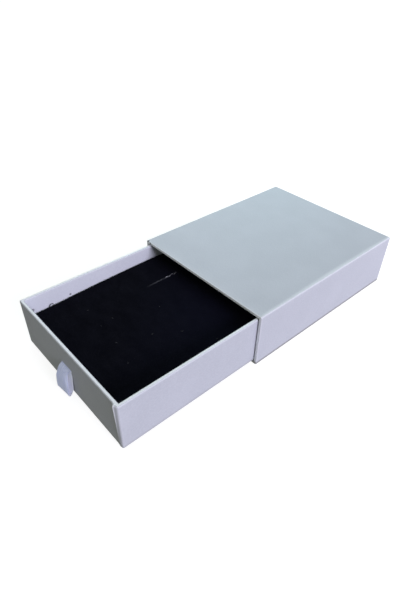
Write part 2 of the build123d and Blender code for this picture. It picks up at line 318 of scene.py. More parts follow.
def black_velvet(tree):
    """Short black pile: nap clouds, a painted bluish sheen, fine grain, and a paler cut at the slit."""
    coords = object_coords(tree)
    nap = speckle(tree, coords, (9.0, 5.0, 9.0), 4.0, 0.6)
    pile = speckle(tree, coords, 0.5, 3.0, 0.75)
    tufts = maths(tree, "ADD", product(tree, nap, 0.5), product(tree, pile, 0.5))
    colour = mix_colour(tree, remap(tree, tufts, 0.36, 0.64), VELVET_DEEP, VELVET_NAP)
    place = parts_of(tree, coords)
    # painted sheen: lighter and bluer towards the sleeve's mouth and +X
    painted_sheen = remap(tree, maths(tree, "ADD", place["X"], place["Y"]),
                    SHEEN_FROM * MM, SHEEN_TO * MM, 0.0, SHEEN_MOST)
    colour = mix_colour(tree, painted_sheen, colour, VELVET_SHEEN_PAINT)
    frayed = speckle(tree, coords, (1.0, 2.2, 1.0), 3.0, 0.7)
    cut = product(tree, attribute(tree, "cut"), remap(tree, frayed, 0.38, 0.62))
    return {
        "Base Color": mix_colour(tree, cut, colour, VELVET_CUT),
        "Normal": bump(tree, nap, 0.6, 0.5, bump(tree, pile, 0.30, 0.8)),
        "Roughness": 1.0, "Specular IOR Level": 0.02,
        "Sheen Weight": 0.004, "Sheen Roughness": 0.6}


# darkest and palest tone of the loose fibres
LINT_TONES = (0.013, 0.013, 0.016), (0.055, 0.055, 0.062)
CRUMB_TONES = (0.80, 0.80, 0.84), (0.95, 0.95, 0.98)
BACKING_TONES = (0.16, 0.16, 0.17), (0.36, 0.36, 0.38)


def loose_fibres(tree, dark, pale):
    """Loose fibres, a little uneven in tone."""
    tone = remap(tree, speckle(tree, object_coords(tree), 0.8, 2.0, 0.6), 0.3, 0.7)
    return {"Base Color": mix_colour(tree, tone, dark, pale), "Roughness": 0.8}


# ---- mesh helpers


def smooth_object(bm, name, material, sharp=40.0):
    """The object, smooth but for edges that turn more than sharp degrees."""
    bmesh.ops.recalc_face_normals(bm, faces=bm.faces)
    for face in bm.faces:
        face.smooth = True
    for edge in bm.edges:
        if edge.calc_face_angle(0.0) > radians(sharp):
            edge.smooth = False
    mesh = bpy.data.meshes.new(name)
    bm.to_mesh(mesh)
    bm.free()
    mesh.materials.append(material)
    made = bpy.data.objects.new(name, mesh)
    bpy.context.scene.collection.objects.link(made)
    return made


def wall_between(bm, upper, lower, rows=0, shape=None):
    """Closes the gap between two matching loops of vertices, with rows of points between."""
    columns = []
    for top, bottom in zip(upper, lower):
        column = [top]
        for row in range(1, rows + 1):
            share = row / (rows + 1)
            column.append(bm.verts.new(shape(top.co.lerp(bottom.co, share), share)))
        columns.append(column + [bottom])
    for here, there in zip(columns, columns[1:] + columns[:1]):
        for row in range(rows + 1):
            bm.faces.new((here[row], there[row], there[row + 1], here[row + 1]))


def hole_walls(bm, grids, open_cells):
    """Joins a sheet's two sides round its open cells."""
    face, back = grids
    columns = len(face[0])
    for i, j in open_cells:
        k = (j + 1) % columns
        sides = (((i - 1, j), (i, j), (i, k)), ((i + 1, j), (i + 1, j), (i + 1, k)),
                 ((i, j - 1), (i, j), (i + 1, j)), ((i, j + 1), (i, k), (i + 1, k)))
        for neighbour, (i0, j0), (i1, j1) in sides:
            if neighbour not in open_cells:
                bm.faces.new((face[i0][j0], face[i1][j1], back[i1][j1], back[i0][j0]))


def two_sided(bm, face, back, name=None, values=(), around=False, hole=None):
    """Two matching grids of points as the two sides of one sheet, with holes cut through and a
    named value at each point. around joins each row's end to its start. Returns the vertices."""
    layer = bm.verts.layers.float.new(name) if name else None
    grids = []
    for points in (face, back):
        grid = [[bm.verts.new(p * MM) for p in row] for row in points]
        for vert, value in zip(sum(grid, []), sum(values, [])):
            vert[layer] = value
        grids.append(grid)
    a, b = grids
    columns = len(face[0])
    open_cells = set()
    for i in range(len(face) - 1):
        for j in range(columns if around else columns - 1):
            k = (j + 1) % columns
            corners = (face[i][j], face[i][k], face[i + 1][k], face[i + 1][j])
            if hole and hole(sum(corners, Vector()) / 4):
                open_cells.add((i, j))
                continue
            bm.faces.new((a[i][j], a[i][k], a[i + 1][k], a[i + 1][j]))
            bm.faces.new((b[i + 1][j], b[i + 1][k], b[i][k], b[i][j]))
    hole_walls(bm, grids, open_cells)
    return grids


def grid_border(grid):
    """The border of an open grid, as one loop of vertices."""
    top, bottom = grid[0], grid[-1]
    right = [row[-1] for row in grid[1:-1]]
    left = [row[0] for row in grid[1:-1]]
    return top + right + bottom[::-1] + left[::-1]


def close_border(bm, grids, rows=0, shape=None):
    """Joins the borders of a sheet's two sides."""
    wall_between(bm, grid_border(grids[0]), grid_border(grids[1]), rows, shape)


def arc(centre, radius, start, end, steps=5):
    """Points of a profile's rounding, angles in degrees."""
    angles = [radians(start + (end - start) * k / steps) for k in range(steps + 1)]
    return [(centre[0] + radius * cos(t), centre[1] + radius * sin(t)) for t in angles]


def rounded_ring(half_a, half_b, radius, stops):
    """A rounded rectangle round (0, 0), anticlockwise from its +a side, as (a, b, bend).
    stops gives each side's points as shares of its straight part; bend is 1 on the corners."""
    a, b = half_a - radius, half_b - radius
    ring = []
    sides = ((half_a, 0, 0, b), (0, half_b, -a, 0), (-half_a, 0, 0, -b), (0, -half_b, a, 0))
    centres = ((a, b), (-a, b), (-a, -b), (a, -b))
    for side, (at_a, at_b, run_a, run_b) in enumerate(sides):
        for index, share in enumerate(stops[side]):
            from_end = min(index, len(stops[side]) - 1 - index)
            bend = (1.0, BESIDE_BEND, 0.0)[min(from_end, 2)]
            ring.append((at_a + run_a * share, at_b + run_b * share, bend))
        corner = arc(centres[side], radius, 90 * side, 90 * side + 90)[1:-1]
        ring += [(x, y, 1.0) for x, y in corner]
    return ring


def side_stops(half, extra=()):
    """Stops along a side's straight part, as shares from -1 to 1 of half its length. A stop of
    the even pitch gives way to an extra one close beside it."""
    count = max(2, round(2 * half / COVER_PITCH))
    places = {-half, half, -half + SUPPORT, half - SUPPORT}
    places |= {-half + 2 * half * k / count for k in range(1, count)}
    too_close = 0.45 * SUPPORT
    places = {p for p in places if all(abs(p - e) > too_close for e in extra)} | set(extra)
    return [p / half for p in sorted(places)]


def over_rim(edge, up):
    """A profile's turn over a board's edge, from the inside out; up is 1 at an upper edge, or -1."""
    turn = edge - up * RIM_RADIUS
    return (arc((WALL - RIM_RADIUS, turn), RIM_RADIUS, 0, up * 90) + [(WALL / 2, edge)]
            + arc((RIM_RADIUS, turn), RIM_RADIUS, up * 90, up * 180))


def with_neighbours(items):
    """Each item between the one before it and the one after; at an end that is itself."""
    return zip(items[:1] + items[:-1], items, items[1:] + items[-1:])


def offset_profile(points, distance):
    """The profile moved to its left by distance."""
    moved = []
    for before, point, after in with_neighbours(points):
        run = Vector((after[0] - before[0], after[1] - before[1])).normalized()
        moved.append((point[0] - run.y * distance, point[1] + run.x * distance))
    return moved


def steps_between(start, end, pitch):
    count = max(1, round(abs(end - start) / pitch))
    return [start + (end - start) * k / count for k in range(count + 1)]


def swell(point, size, seed):
    """Smooth noise from 0 to 1, with hills about size apart."""
    return 0.5 + 0.5 * noise.noise(point / size + Vector((seed, seed * 1.7, seed * 0.3)))


def clamp(value):
    """The value, kept from 0 to 1."""
    return min(1.0, max(0.0, value))


def paper_wave(point, low, high, rise, size, seed):
    """How glued paper stands out at a point on a side of the box from low to high: up to rise, in
    waves of about size, and not within 1 mm of that side's edges."""
    gaps = [min(point[k] - low[k], high[k] - point[k]) for k in range(3)]
    axis = gaps.index(min(gaps))
    edge = min(gap for k, gap in enumerate(gaps) if k != axis)
    wave = Vector()
    wave[axis] = copysign(rise, point[axis] - (low[axis] + high[axis]) / 2)
    return wave * (clamp((edge - 1.0) / 4.0) * swell(point, size, seed))


def fold_of_profile(profile, rim):
    """Paleness along a profile, part wear and part painted highlight: 1 on the rim, TURN_PALE at turns."""
    bends = []
    for before, here, after in with_neighbours([Vector(point) for point in profile]):
        first, second = here - before, after - here
        turned = first.length > 0 and second.length > 0 and first.angle(second) > radians(4)
        bends.append(1.0 if abs(here.y - rim) < 0.01 else TURN_PALE if turned else 0.0)
    return bends


def make_cover(name, material, outer, inner, folds, hole=None):
    """A wrapped paper as one closed sheet, from the rings of its two sides."""
    bm = bmesh.new()
    face, back = two_sided(bm, [[p for p, _ in ring] for ring in outer],
                           [[p for p, _ in ring] for ring in inner],
                           "fold", folds, around=True, hole=hole)
    bm.faces.new(face[-1])
    bm.faces.new(back[-1])
    wall_between(bm, face[0], back[0])
    return smooth_object(bm, name, material)


# ---- sleeve cover
BASE_MARGIN = 0.02  # the recess for the base sheet turns this close to its edges
BASE_GAP = 0.01  # the recess clears the base sheet by this much
CREASE = (0.9, 0.98)  # where the back steps in under its edge, in from the outside
CREASE_DEPTH = 0.06
SLEEVE_TURN_HIGHLIGHT = 0.08  # the sleeve's long edges, below the roof's painted highlight band: a faint painted highlight
EDGE_HIGHLIGHT = 0.44  # how pale the painted highlight band on the roof beside its +X edge is
HIGHLIGHT_LINES = (1.5, 2.0, 2.6, 3.4)  # in from that edge: the finer grid where the band fades
HIGHLIGHT_REACH = 1.6  # how far in the band starts to fade, at its narrowest
HIGHLIGHT_BOW = 0.5  # how much wider it is half way along
HIGHLIGHT_UNEVEN = 0.8
HIGHLIGHT_FADE = 1.4  # width over which it fades in
LIP_TURN_HIGHLIGHT = 0.9  # painted highlight where the paper turns over the mouth's edge
LIP_HIGHLIGHT = 0.16  # painted highlight beside that edge, fading away over LIP_FADE
LIP_FADE = 3.5


def sleeve_profile():
    """The cover from its turned-in end, over the mouth's rim, along the sleeve and over the back:
    how far in from the outside, and y."""
    mouth, back = SLEEVE_LOW.y, SLEEVE_HIGH.y
    turn = mouth + RIM_RADIUS
    points = [(WALL, y) for y in steps_between(LINING_LOW.y, turn + SUPPORT, COVER_PITCH)]
    points += over_rim(mouth, -1)
    outside = [BASE_LOW.y - BASE_MARGIN, BASE_LOW.y + BASE_MARGIN]
    outside += steps_between(BASE_LOW.y + 1.5, BASE_HIGH.y - 1.5, COVER_PITCH)
    outside += [BASE_HIGH.y - BASE_MARGIN, BASE_HIGH.y + BASE_MARGIN]
    points += [(0.0, y) for y in outside]
    points += arc((EDGE_RADIUS, back - EDGE_RADIUS), EDGE_RADIUS, 180, 90)
    points += [(CREASE[0], back)]
    points += [(inset, back - CREASE_DEPTH) for inset in (CREASE[1], 2.5, 6.0, 10.0, 12.5)]
    return points


def sleeve_ring(inset, y, bulge):
    """One ring of the sleeve's cover at y, with the recess that the base sheet lies in."""
    middle = (SLEEVE_LOW + SLEEVE_HIGH) / 2
    half = (SLEEVE_HIGH - SLEEVE_LOW) / 2
    radius = max(EDGE_RADIUS - inset, SHARP_RADIUS)
    window = [edge + side * BASE_MARGIN for edge in (BASE_LOW.x, BASE_HIGH.x) for side in (-1, 1)]
    # grid lines where the roof's painted highlight band fades
    wear_and_highlight = [side * (half.x - inward) for side in (-1, 1) for inward in HIGHLIGHT_LINES]
    across = side_stops(half.x - EDGE_RADIUS, window + wear_and_highlight)
    upright = side_stops(half.z - EDGE_RADIUS)
    ring = []
    for a, b, bend in rounded_ring(half.x - inset, half.z - inset, radius, (upright, across) * 2):
        point = Vector((middle.x + a, y, middle.z + b))
        outside = inset < 0.01 and bend < 0.9 and bulge
        if outside and b < 0:
            inside_window = BASE_LOW.x < a < BASE_HIGH.x and BASE_LOW.y < y < BASE_HIGH.y
            if inside_window and point.z < BASE_HIGH.z:
                point.z = BASE_HIGH.z + BASE_GAP
        elif outside:
            point += paper_wave(point, SLEEVE_LOW, SLEEVE_HIGH, SLEEVE_SWELL, 22.0, 3.1)
        ring.append((point, bend))
    return ring


def roof_highlight(point):
    """How pale the roof is painted as a highlight: most beside its +X edge, a little beside the mouth."""
    level = clamp((point.z - SLEEVE_HIGH.z) / EDGE_RADIUS + 1.0)
    from_mouth = point.y - SLEEVE_LOW.y
    share = from_mouth / (SLEEVE_HIGH.y - SLEEVE_LOW.y)
    reach = HIGHLIGHT_REACH + HIGHLIGHT_BOW * sin(pi * share) + HIGHLIGHT_UNEVEN * swell(point, 15.0, 5.3)
    beside_edge = clamp((reach - SLEEVE_HIGH.x + point.x) / HIGHLIGHT_FADE)
    beside_mouth = LIP_TURN_HIGHLIGHT
    if from_mouth > RIM_RADIUS:
        beside_mouth = LIP_HIGHLIGHT * clamp(1.0 - from_mouth / LIP_FADE)
    return level * max(EDGE_HIGHLIGHT * beside_edge, beside_mouth)


def make_sleeve_cover(material):
    profile = sleeve_profile()
    outer = [sleeve_ring(inset, y, True) for inset, y in profile]
    inner = [sleeve_ring(inset, y, False) for inset, y in offset_profile(profile, -PAPER)]
    # paleness at turns, with painted highlights along the long edges, on the roof and at the mouth
    folds = [[max(fold, bend * SLEEVE_TURN_HIGHLIGHT, roof_highlight(point)) for point, bend in ring]
             for fold, ring in zip(fold_of_profile(profile, SLEEVE_LOW.y), outer)]
    made = make_cover("sleeve_wrap", material, outer, inner, folds)
    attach(made, "sleeve")
    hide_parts("sleeve_wrap_paper")


# ---- drawer cover
BEVEL_END = 1.35  # the folded corner's lean ends here, in from the +X side
BEVEL_RISE = (0.22, 0.44)  # its lean at the foot and at the rim
FLAP_RISE = 0.42  # how far its crest stands above the lean, at the rim
FLAP_CREST = 1.85  # the crest, in from the same side
FLAP_END = 6.5  # where it has levelled out
FLAP_LOW = 2.2  # height where it has died away
FLAP_INSET = 0.7  # how far in over the rim the paper moves with it
FLAP_COLUMNS = [0.8, 1.1, BEVEL_END, 1.5, 1.7, FLAP_CREST, 2.0, 2.2, 2.5, 3.0, 3.8, 4.9, FLAP_END]
SLOT_COLUMNS = [-SLOT_HALF_WIDTH, -2.0, 0.0, 2.0, SLOT_HALF_WIDTH]
TURN_IN_PAINTED_LIGHT = 0.12  # painted light: the paper inside the tray is painted a little paler
CORNER_HIGHLIGHT = 0.08  # its upright corners get a faint painted highlight, hardly paler than its sides
INSIDE_PITCH, OUTSIDE_PITCH = 3.0, 2.4


def drawer_profile():
    """The cover from the tray's floor up the inside, over the rim, down the outside and under:
    how far in from the outside, and z."""
    floor, rim, base = TRAY_HIGH.z, DRAWER_HIGH.z, DRAWER_LOW.z
    shoulder, heel = rim - RIM_RADIUS, base + EDGE_RADIUS
    inside = [floor + 0.02, floor + 0.4] + steps_between(6.0, SLOT_LOW, INSIDE_PITCH)
    inside += steps_between(SLOT_HIGH, shoulder - SUPPORT, INSIDE_PITCH)
    points = [(WALL, z) for z in inside]
    points += over_rim(rim, 1)
    outside = steps_between(shoulder - SUPPORT, SLOT_HIGH, OUTSIDE_PITCH)
    outside += steps_between(SLOT_LOW, heel + SUPPORT, OUTSIDE_PITCH)
    points += [(0.0, z) for z in outside]
    points += arc((EDGE_RADIUS, heel), EDGE_RADIUS, 180, 270)
    points += [(inset, base) for inset in (1.0, 3.0, 12.0, 24.0, 36.0)]
    return points


def flap_height(across, z):
    """How far the paper folded over at the front's +X corner stands out."""
    if across <= 0.0 or across >= FLAP_END:
        return 0.0
    upward = clamp((z - FLAP_LOW) / (DRAWER_HIGH.z - FLAP_LOW))
    grounded = clamp((z - DRAWER_LOW.z) / EDGE_RADIUS)
    bevel = grounded * (BEVEL_RISE[0] + (BEVEL_RISE[1] - BEVEL_RISE[0]) * upward)
    if across < BEVEL_END:
        return bevel * across / BEVEL_END
    crest = bevel + FLAP_RISE * upward
    if across < FLAP_CREST:
        return bevel + (crest - bevel) * (across - BEVEL_END) / (FLAP_CREST - BEVEL_END)
    return crest * ((FLAP_END - across) / (FLAP_END - FLAP_CREST)) ** 5


def crest_highlight(point):
    """How pale the crest of that fold is painted: a painted highlight, growing towards the rim."""
    if point.y > FRONT_BOARD_LOW.y or abs(DRAWER_HIGH.x - point.x - FLAP_CREST) > 0.2:
        return 0.0
    return max(0.0, (point.z - FLAP_LOW) / (DRAWER_HIGH.z - FLAP_LOW))


def drawer_ring(inset, z, bulge):
    """One ring of the drawer's cover at height z."""
    middle = (DRAWER_LOW + DRAWER_HIGH) / 2
    half = (DRAWER_HIGH - DRAWER_LOW) / 2
    middle_y = (FRONT_Y + DRAWER_HIGH.y) / 2
    half_y = (DRAWER_HIGH.y - FRONT_Y) / 2
    radius = max(EDGE_RADIUS - inset, INNER_RADIUS)
    straight_x, straight_y = half.x - EDGE_RADIUS, half_y - EDGE_RADIUS
    corner = [half.x - u for u in FLAP_COLUMNS]
    front = side_stops(straight_x, corner + SLOT_COLUMNS)
    back = side_stops(straight_x)
    side = side_stops(straight_y)
    ring = []
    for a, b, bend in rounded_ring(half.x - inset, half_y - inset, radius, (side, back, side, front)):
        point = Vector((middle.x + a, middle_y + b, z))
        if bulge and inset < 0.01 and bend < 0.9:
            point += paper_wave(point, DRAWER_LEAST, DRAWER_HIGH, DRAWER_SWELL, 18.0, 7.7)
        if bulge and inset < FLAP_INSET and b < 0 and abs(b) > straight_y - 1.0:
            held = 1.0 - inset / FLAP_INSET
            point.y -= flap_height(DRAWER_HIGH.x - point.x, z) * held
        ring.append((point, bend))
    return ring


def in_ribbon_slot(point):
    return (abs(point.x) < SLOT_HALF_WIDTH and SLOT_LOW < point.z < SLOT_HIGH
            and point.y < FRONT_BOARD_HIGH.y + 0.5)


def make_drawer_cover(material):
    profile = drawer_profile()
    outer = [drawer_ring(inset, z, True) for inset, z in profile]
    inner = [drawer_ring(inset, z, False) for inset, z in offset_profile(profile, PAPER)]
    turns = fold_of_profile(profile, DRAWER_HIGH.z)
    # paleness at turns, with painted light inside the tray and painted highlights on the corners and the
    # flap's crest
    folds = [[max(fold, bend * CORNER_HIGHLIGHT, TURN_IN_PAINTED_LIGHT if inset == WALL else 0.0, crest_highlight(point))
              for point, bend in ring] for (inset, _), fold, ring in zip(profile, turns, outer)]
    made = make_cover("drawer_wrap", material, outer, inner, folds, in_ribbon_slot)
    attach(made, "drawer")
    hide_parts("drawer_wrap_paper")


# ---- ribbon pull
RIBBON_HALF_WIDTH = 3.75
RIBBON_THICK = 0.24
RIBBON_COLUMNS = (-1.0, -0.96, -0.9, -0.7, -0.5, -0.25, 0.0, 0.25, 0.5, 0.6, 0.7, 0.8, 0.9, 0.96, 1.0)
RIBBON_STEPS = 5  # points on each span of its line
PULL_START = 0.2  # how far out from the front the pull hangs free
EDGE_HANG = 0.35  # how far its +X edge hangs lower, and its -X edge higher
EDGE_BOW = 0.85  # how far its -X edge bows out
REAR_LIFT, REAR_SPREAD = 1.05, 1.40  # the rear ply stands out, less at its +X edge
FRONT_TUCK = 0.40  # how far the front ply's +X edge is tucked in
FOLD_TOP = 2.9  # height where the bottom fold ends and the two plies part
GATHER_Z, GATHER_REACH = 13.0, 3.0  # where the front ply is gathered, and how far from there
GATHER = (1.5, 0.2, 1.0)  # how far, in x, out and z


def ribbon_line():
    """The ribbon's middle line, as how far out from the drawer's front, and z: one tail, out
    through the slot, down and round the pull's fold, back up and in, and the other tail."""
    upper, lower = SLOT_MIDDLE + 0.15, SLOT_MIDDLE - 0.15
    foot = TAILS_LOW.z + 0.1
    tail_far, tail_near = -1.95, -1.65
    line = [(tail_far, foot), (tail_far, 8.0), (tail_far, 12.0), (tail_far, 14.4)]
    line += [(-1.72, 15.25), (-1.2, upper), (-0.4, upper), (0.15, upper - 0.03)]
    line += [(0.8, 14.95), (1.6, 13.9), (2.2, 12.0), (2.7, 9.9), (3.0, 7.7), (3.2, 5.3)]
    line += [(3.22, 3.9), (3.02, 3.05), (2.6, 2.8), (2.1, 3.2), (1.5, 4.3), (1.05, 6.0), (0.7, 9.8)]
    line += [(0.42, 13.2), (0.2, 14.7), (-0.3, lower), (-1.1, lower)]
    line += [(-1.5, 14.85), (tail_near, 14.2), (tail_near, 11.0), (tail_near, 8.0), (tail_near, foot)]
    return line


def through_points(points):
    """A smooth line through the points (Catmull-Rom)."""
    points = [Vector(point) for point in points]
    made = []
    for p0, p1, p2, p3 in zip(points[:1] + points, points, points[1:], points[2:] + points[-1:]):
        for step in range(RIBBON_STEPS):
            t = step / RIBBON_STEPS
            made.append(0.5 * ((2 * p1) + (p2 - p0) * t + (2 * p0 - 5 * p1 + 4 * p2 - p3) * t * t
                               + (3 * p1 - p0 - 3 * p2 + p3) * t ** 3))
    return made + points[-1:]


def ribbon_twist(across, out, z, rear):
    """The pull's small lean: its +X edge hangs lower, its -X edge bows out, and at +X the front
    ply is gathered in under the slot and the rear ply spreads towards the drawer.
    Gives the change of x, out and z."""
    if out <= PULL_START:
        return 0.0, 0.0, 0.0
    below = SLOT_MIDDLE - z
    early = clamp(below / 5.0)
    bow = EDGE_BOW * early * ((1.0 - across) / 2.0) ** 1.3
    above_fold = clamp((z - FOLD_TOP) / 2.5)
    gather = 0.0
    if rear:
        spread = REAR_LIFT - REAR_SPREAD * max(0.0, across) ** 0.8
        bow += spread * clamp(below / 2.5) * above_fold
    else:
        free = clamp((out - PULL_START) / 0.8)
        bow -= FRONT_TUCK * early * above_fold * (max(0.0, across - 0.6) / 0.4) ** 2
        gather = exp(-((z - GATHER_Z) / GATHER_REACH) ** 2) * free * max(0.0, across) ** 1.2
    slide, pull, drop = (gather * most for most in GATHER)
    return -slide, bow - pull, -EDGE_HANG * clamp(below / 12.0) * across - drop


def half_thickness(across):
    """Thin at the ribbon's very edge, thickest at the selvedge beside it."""
    if abs(across) == 1.0:
        return RIBBON_THICK * 0.25
    return RIBBON_THICK * (0.5 if abs(across) > 0.89 else 0.42)


def ribbon_sides(line):
    """The ribbon's two sides: a row of points across for each point of its line."""
    fold_at = line.index(min((p for p in line if p.x > PULL_START), key=lambda p: p.y))
    sides = [], []
    for index, (before, point, after) in enumerate(with_neighbours(line)):
        run = (after - before).normalized()
        normal = Vector((-run.y, run.x))
        rows = [], []
        for across in RIBBON_COLUMNS:
            slide, bow, drop = ribbon_twist(across, point.x, point.y, index > fold_at)
            for row, sign in zip(rows, (1, -1)):
                out, z = point + normal * half_thickness(across) * sign
                row.append(Vector((across * RIBBON_HALF_WIDTH + slide, FRONT_Y - out - bow, z + drop)))
        for side, row in zip(sides, rows):
            side.append(row)
    return sides


def map_ribbon(bm, grids, lengths):
    """The ribbon's UV map, in mm: across it, with DULL_SHIFT added at the back, and along it."""
    layer = bm.loops.layers.uv.new("ribbon")
    place = {}
    for grid, shift in zip(grids, (0.0, DULL_SHIFT)):
        for row, along in zip(grid, lengths):
            for vert, across in zip(row, RIBBON_COLUMNS):
                place[vert] = (across * RIBBON_HALF_WIDTH + shift, along)
    for face in bm.faces:
        for loop in face.loops:
            loop[layer].uv = place[loop.vert]


def make_ribbon(material):
    line = through_points(ribbon_line())
    lengths = [0.0]
    for here, there in zip(line, line[1:]):
        lengths.append(lengths[-1] + (there - here).length)
    bm = bmesh.new()
    grids = two_sided(bm, *ribbon_sides(line))
    close_border(bm, grids)
    map_ribbon(bm, grids, lengths)
    made = smooth_object(bm, "ribbon_pull", material, 60.0)
    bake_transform(made)
    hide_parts("ribbon_loop", "ribbon_tails")
    return made


# ---- velvet pad
VELVET = 0.5  # velvet with its glue
PAD_PITCH = 1.0
PAD_ROUND = 0.8  # how far in the pad's top edge is rounded over
ROUND_DROP = 0.5  # and how far down it goes there
PAD_SINK = 0.6  # how far it sinks towards its near -X corner
DRAWN_IN = 2.5  # how far in from its border the grid follows the cut edge
BORDER_LINES = (0.0, 0.15, 0.4, 0.8)  # the finer grid, in from each border
SLIT_X, SLIT_START, SLIT_END = -17.8, -65.5, -48.9
SLIT_HALF = 0.14
SLIT_LINES = (SLIT_HALF, 0.32, 0.65)  # the finer grid, on each side of the slit
SLIT_LIP = 0.22  # how far the cut pile stands up
LIP_REACH = 0.5  # how far beside the slit it does
# y and the velvet's height there: the pad leans up towards the sleeve
PAD_HEIGHTS = ((-118.2, 17.85), (-116.0, 17.94), (-87.0, 18.5), (-70.0, 18.90), (-50.0, 19.22),
               (-23.8, 19.28))
# share of the slit's length from its near end, and how much of its cut pile shows there
CUT_SHOWN = ((0.0, 0.16), (0.45, 0.42), (0.62, 1.0), (0.72, 0.8), (0.78, 0.20), (0.85, 0.6),
             (1.0, 0.35))


def along_table(table, at):
    """Straight-line value of a table of (place, value)."""
    at = min(max(at, table[0][0]), table[-1][0])
    for (x0, y0), (x1, y1) in zip(table, table[1:]):
        if at <= x1:
            return y0 + (y1 - y0) * (at - x0) / (x1 - x0)


def pad_edge_inset(x, y):
    """How far the pad's cut edge wanders in from straight."""
    place = Vector((x, y, 0.0))
    inset = 0.22 * swell(place, 5.0, 2.3) + 0.26 * swell(place, 1.6, 5.9)
    if x < 0:
        inset += 0.5 * exp(-((y + 104.0) / 4.0) ** 2) * swell(place, 2.2, 8.1)
    return inset


def pad_top(x, y):
    """Height of the velvet: tilted, softly uneven and rounded at its edges."""
    place = Vector((x, y, 0.0))
    height = along_table(PAD_HEIGHTS, y) + 0.16 * (swell(place, 16.0, 1.2) - 0.5)
    height += 0.05 * (swell(place, 3.0, 4.4) - 0.5)
    height -= PAD_SINK * max(0.0, x / FOAM_LOW.x) * clamp((-85.0 - y) / 25.0)
    edge = min(x - FOAM_LOW.x, FOAM_HIGH.x - x, y - FOAM_LOW.y, FOAM_HIGH.y - y)
    if edge < PAD_ROUND:
        height -= ROUND_DROP * (1.0 - max(edge, 0.0) / PAD_ROUND) ** 2
    return height


def border_lines(low, high):
    return [low + line for line in BORDER_LINES] + [high - line for line in BORDER_LINES]


def pad_lines():
    """The pad's grid lines in x and y, closer at its borders and at the slit."""
    xs = steps_between(FOAM_LOW.x + 1.2, FOAM_HIGH.x - 1.2, PAD_PITCH)
    xs = [x for x in xs if abs(x - SLIT_X) > 0.9]
    xs += [SLIT_X + side * away for side in (-1, 1) for away in SLIT_LINES]
    xs += border_lines(FOAM_LOW.x, FOAM_HIGH.x)
    ys = steps_between(FOAM_LOW.y + 1.2, FOAM_HIGH.y - 1.2, PAD_PITCH)
    ys = [y for y in ys if min(abs(y - SLIT_START), abs(y - SLIT_END)) > 0.3]
    ys += [SLIT_START, SLIT_END] + border_lines(FOAM_LOW.y, FOAM_HIGH.y)
    return sorted(xs), sorted(ys)


def pad_point(x, y, z):
    """A pad point, drawn in where the cut edge wanders."""
    away = x - FOAM_LOW.x, FOAM_HIGH.x - x, y - FOAM_LOW.y, FOAM_HIGH.y - y
    left, right, near, far = (clamp(1.0 - distance / DRAWN_IN) for distance in away)
    moved = Vector((x, y, z))
    moved.x += pad_edge_inset(-1.0, y) * left
    moved.x -= pad_edge_inset(1.0, y) * right
    moved.y += pad_edge_inset(x + 80.0, 0.0) * near
    moved.y -= pad_edge_inset(x + 120.0, 0.0) * far
    return moved


def pad_grid(xs, ys, value_at):
    return [[value_at(x, y) for x in xs] for y in ys]


def in_slit(point):
    return abs(point.x - SLIT_X) < SLIT_HALF and SLIT_START < point.y < SLIT_END


def slit_share(x, y):
    """1 at the slit, falling to 0 beside it and past its ends."""
    lengthways = min(clamp((y - SLIT_START + 0.8) / 0.8), clamp((SLIT_END + 0.8 - y) / 0.8))
    return lengthways * clamp(1.0 - (abs(x - SLIT_X) - SLIT_HALF) / LIP_REACH)


def cut_strength(x, y):
    """How much of the cut pile shows."""
    return slit_share(x, y) * along_table(CUT_SHOWN, (y - SLIT_START) / (SLIT_END - SLIT_START))


def velvet_face(x, y):
    ragged = SLIT_LIP * slit_share(x, y) * (0.4 + 0.6 * swell(Vector((x, y, 0)), 1.3, 6.6))
    return pad_point(x, y, pad_top(x, y) + ragged)


def velvet_back(x, y):
    return pad_point(x, y, pad_top(x, y) - VELVET)


def make_velvet(material):
    xs, ys = pad_lines()
    face, back, cuts = (pad_grid(xs, ys, each) for each in (velvet_face, velvet_back, cut_strength))
    bm = bmesh.new()
    grids = two_sided(bm, face, back, "cut", cuts, hole=in_slit)
    close_border(bm, grids)
    made = smooth_object(bm, "pad_velvet_cover", material, 50.0)
    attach(made, "pad")
    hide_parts("pad_velvet")


NOTCH_HALF_WIDTH = 6.5  # room in the foam's front for the ribbon's tails and tape
NOTCH_DEPTH = 0.8
NOTCH_REACH = 2.0  # how far back the foam is cut for it
SLIT_DEPTH = 9.0
FOAM_GAP = 0.02  # between the foam and the velvet glued on it
WAIST = 0.35  # how far the foam's cut sides draw in at half height


def foam_point(x, y, z):
    moved = pad_point(x, y, z)
    if abs(x) < NOTCH_HALF_WIDTH and y < FOAM_LOW.y + NOTCH_REACH:
        moved.y = max(moved.y, FOAM_LOW.y + NOTCH_DEPTH + (y - FOAM_LOW.y) * 0.5)
    return moved


def foam_face(x, y):
    """The foam's top, with a deep narrow fold under the velvet's slit."""
    top = pad_top(x, y) - VELVET - FOAM_GAP
    if abs(x - SLIT_X) < 0.01 and SLIT_START < y < SLIT_END:
        top -= SLIT_DEPTH
    return foam_point(x, y, top)


def foam_back(x, y):
    return foam_point(x, y, FOAM_LOW.z)


def foam_side(point, share):
    """A point of the foam's cut side, drawn in towards half height."""
    inward = (FOAM_LOW + FOAM_HIGH) / 2 * MM - point
    draw = WAIST * MM * sin(pi * share)
    return point + Vector((copysign(min(abs(inward.x), draw), inward.x),
                           copysign(min(abs(inward.y), draw), inward.y), 0))


def make_foam(material):
    xs, ys = pad_lines()
    xs = sorted(xs + [SLIT_X])
    bm = bmesh.new()
    grids = two_sided(bm, pad_grid(xs, ys, foam_face), pad_grid(xs, ys, foam_back))
    close_border(bm, grids, rows=7, shape=foam_side)
    made = smooth_object(bm, "pad_foam_block", material, 50.0)
    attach(made, "pad")
    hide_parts("pad_foam")


# ---- lint on the pad
FIBRE_LIFT = 0.12  # height of a fibre over the velvet at its ends
FIBRE_ARCH = 0.018  # how much higher half way, as a share of its length
FIBRE_STEPS = 8
THREAD_X, THREAD_Y = FOAM_LOW.x + 0.30, -107.3
THREAD_HALF_SPAN, THREAD_HEIGHT, THREAD_RADIUS = 1.1, 0.95, 0.13
THREAD_STEPS = 12

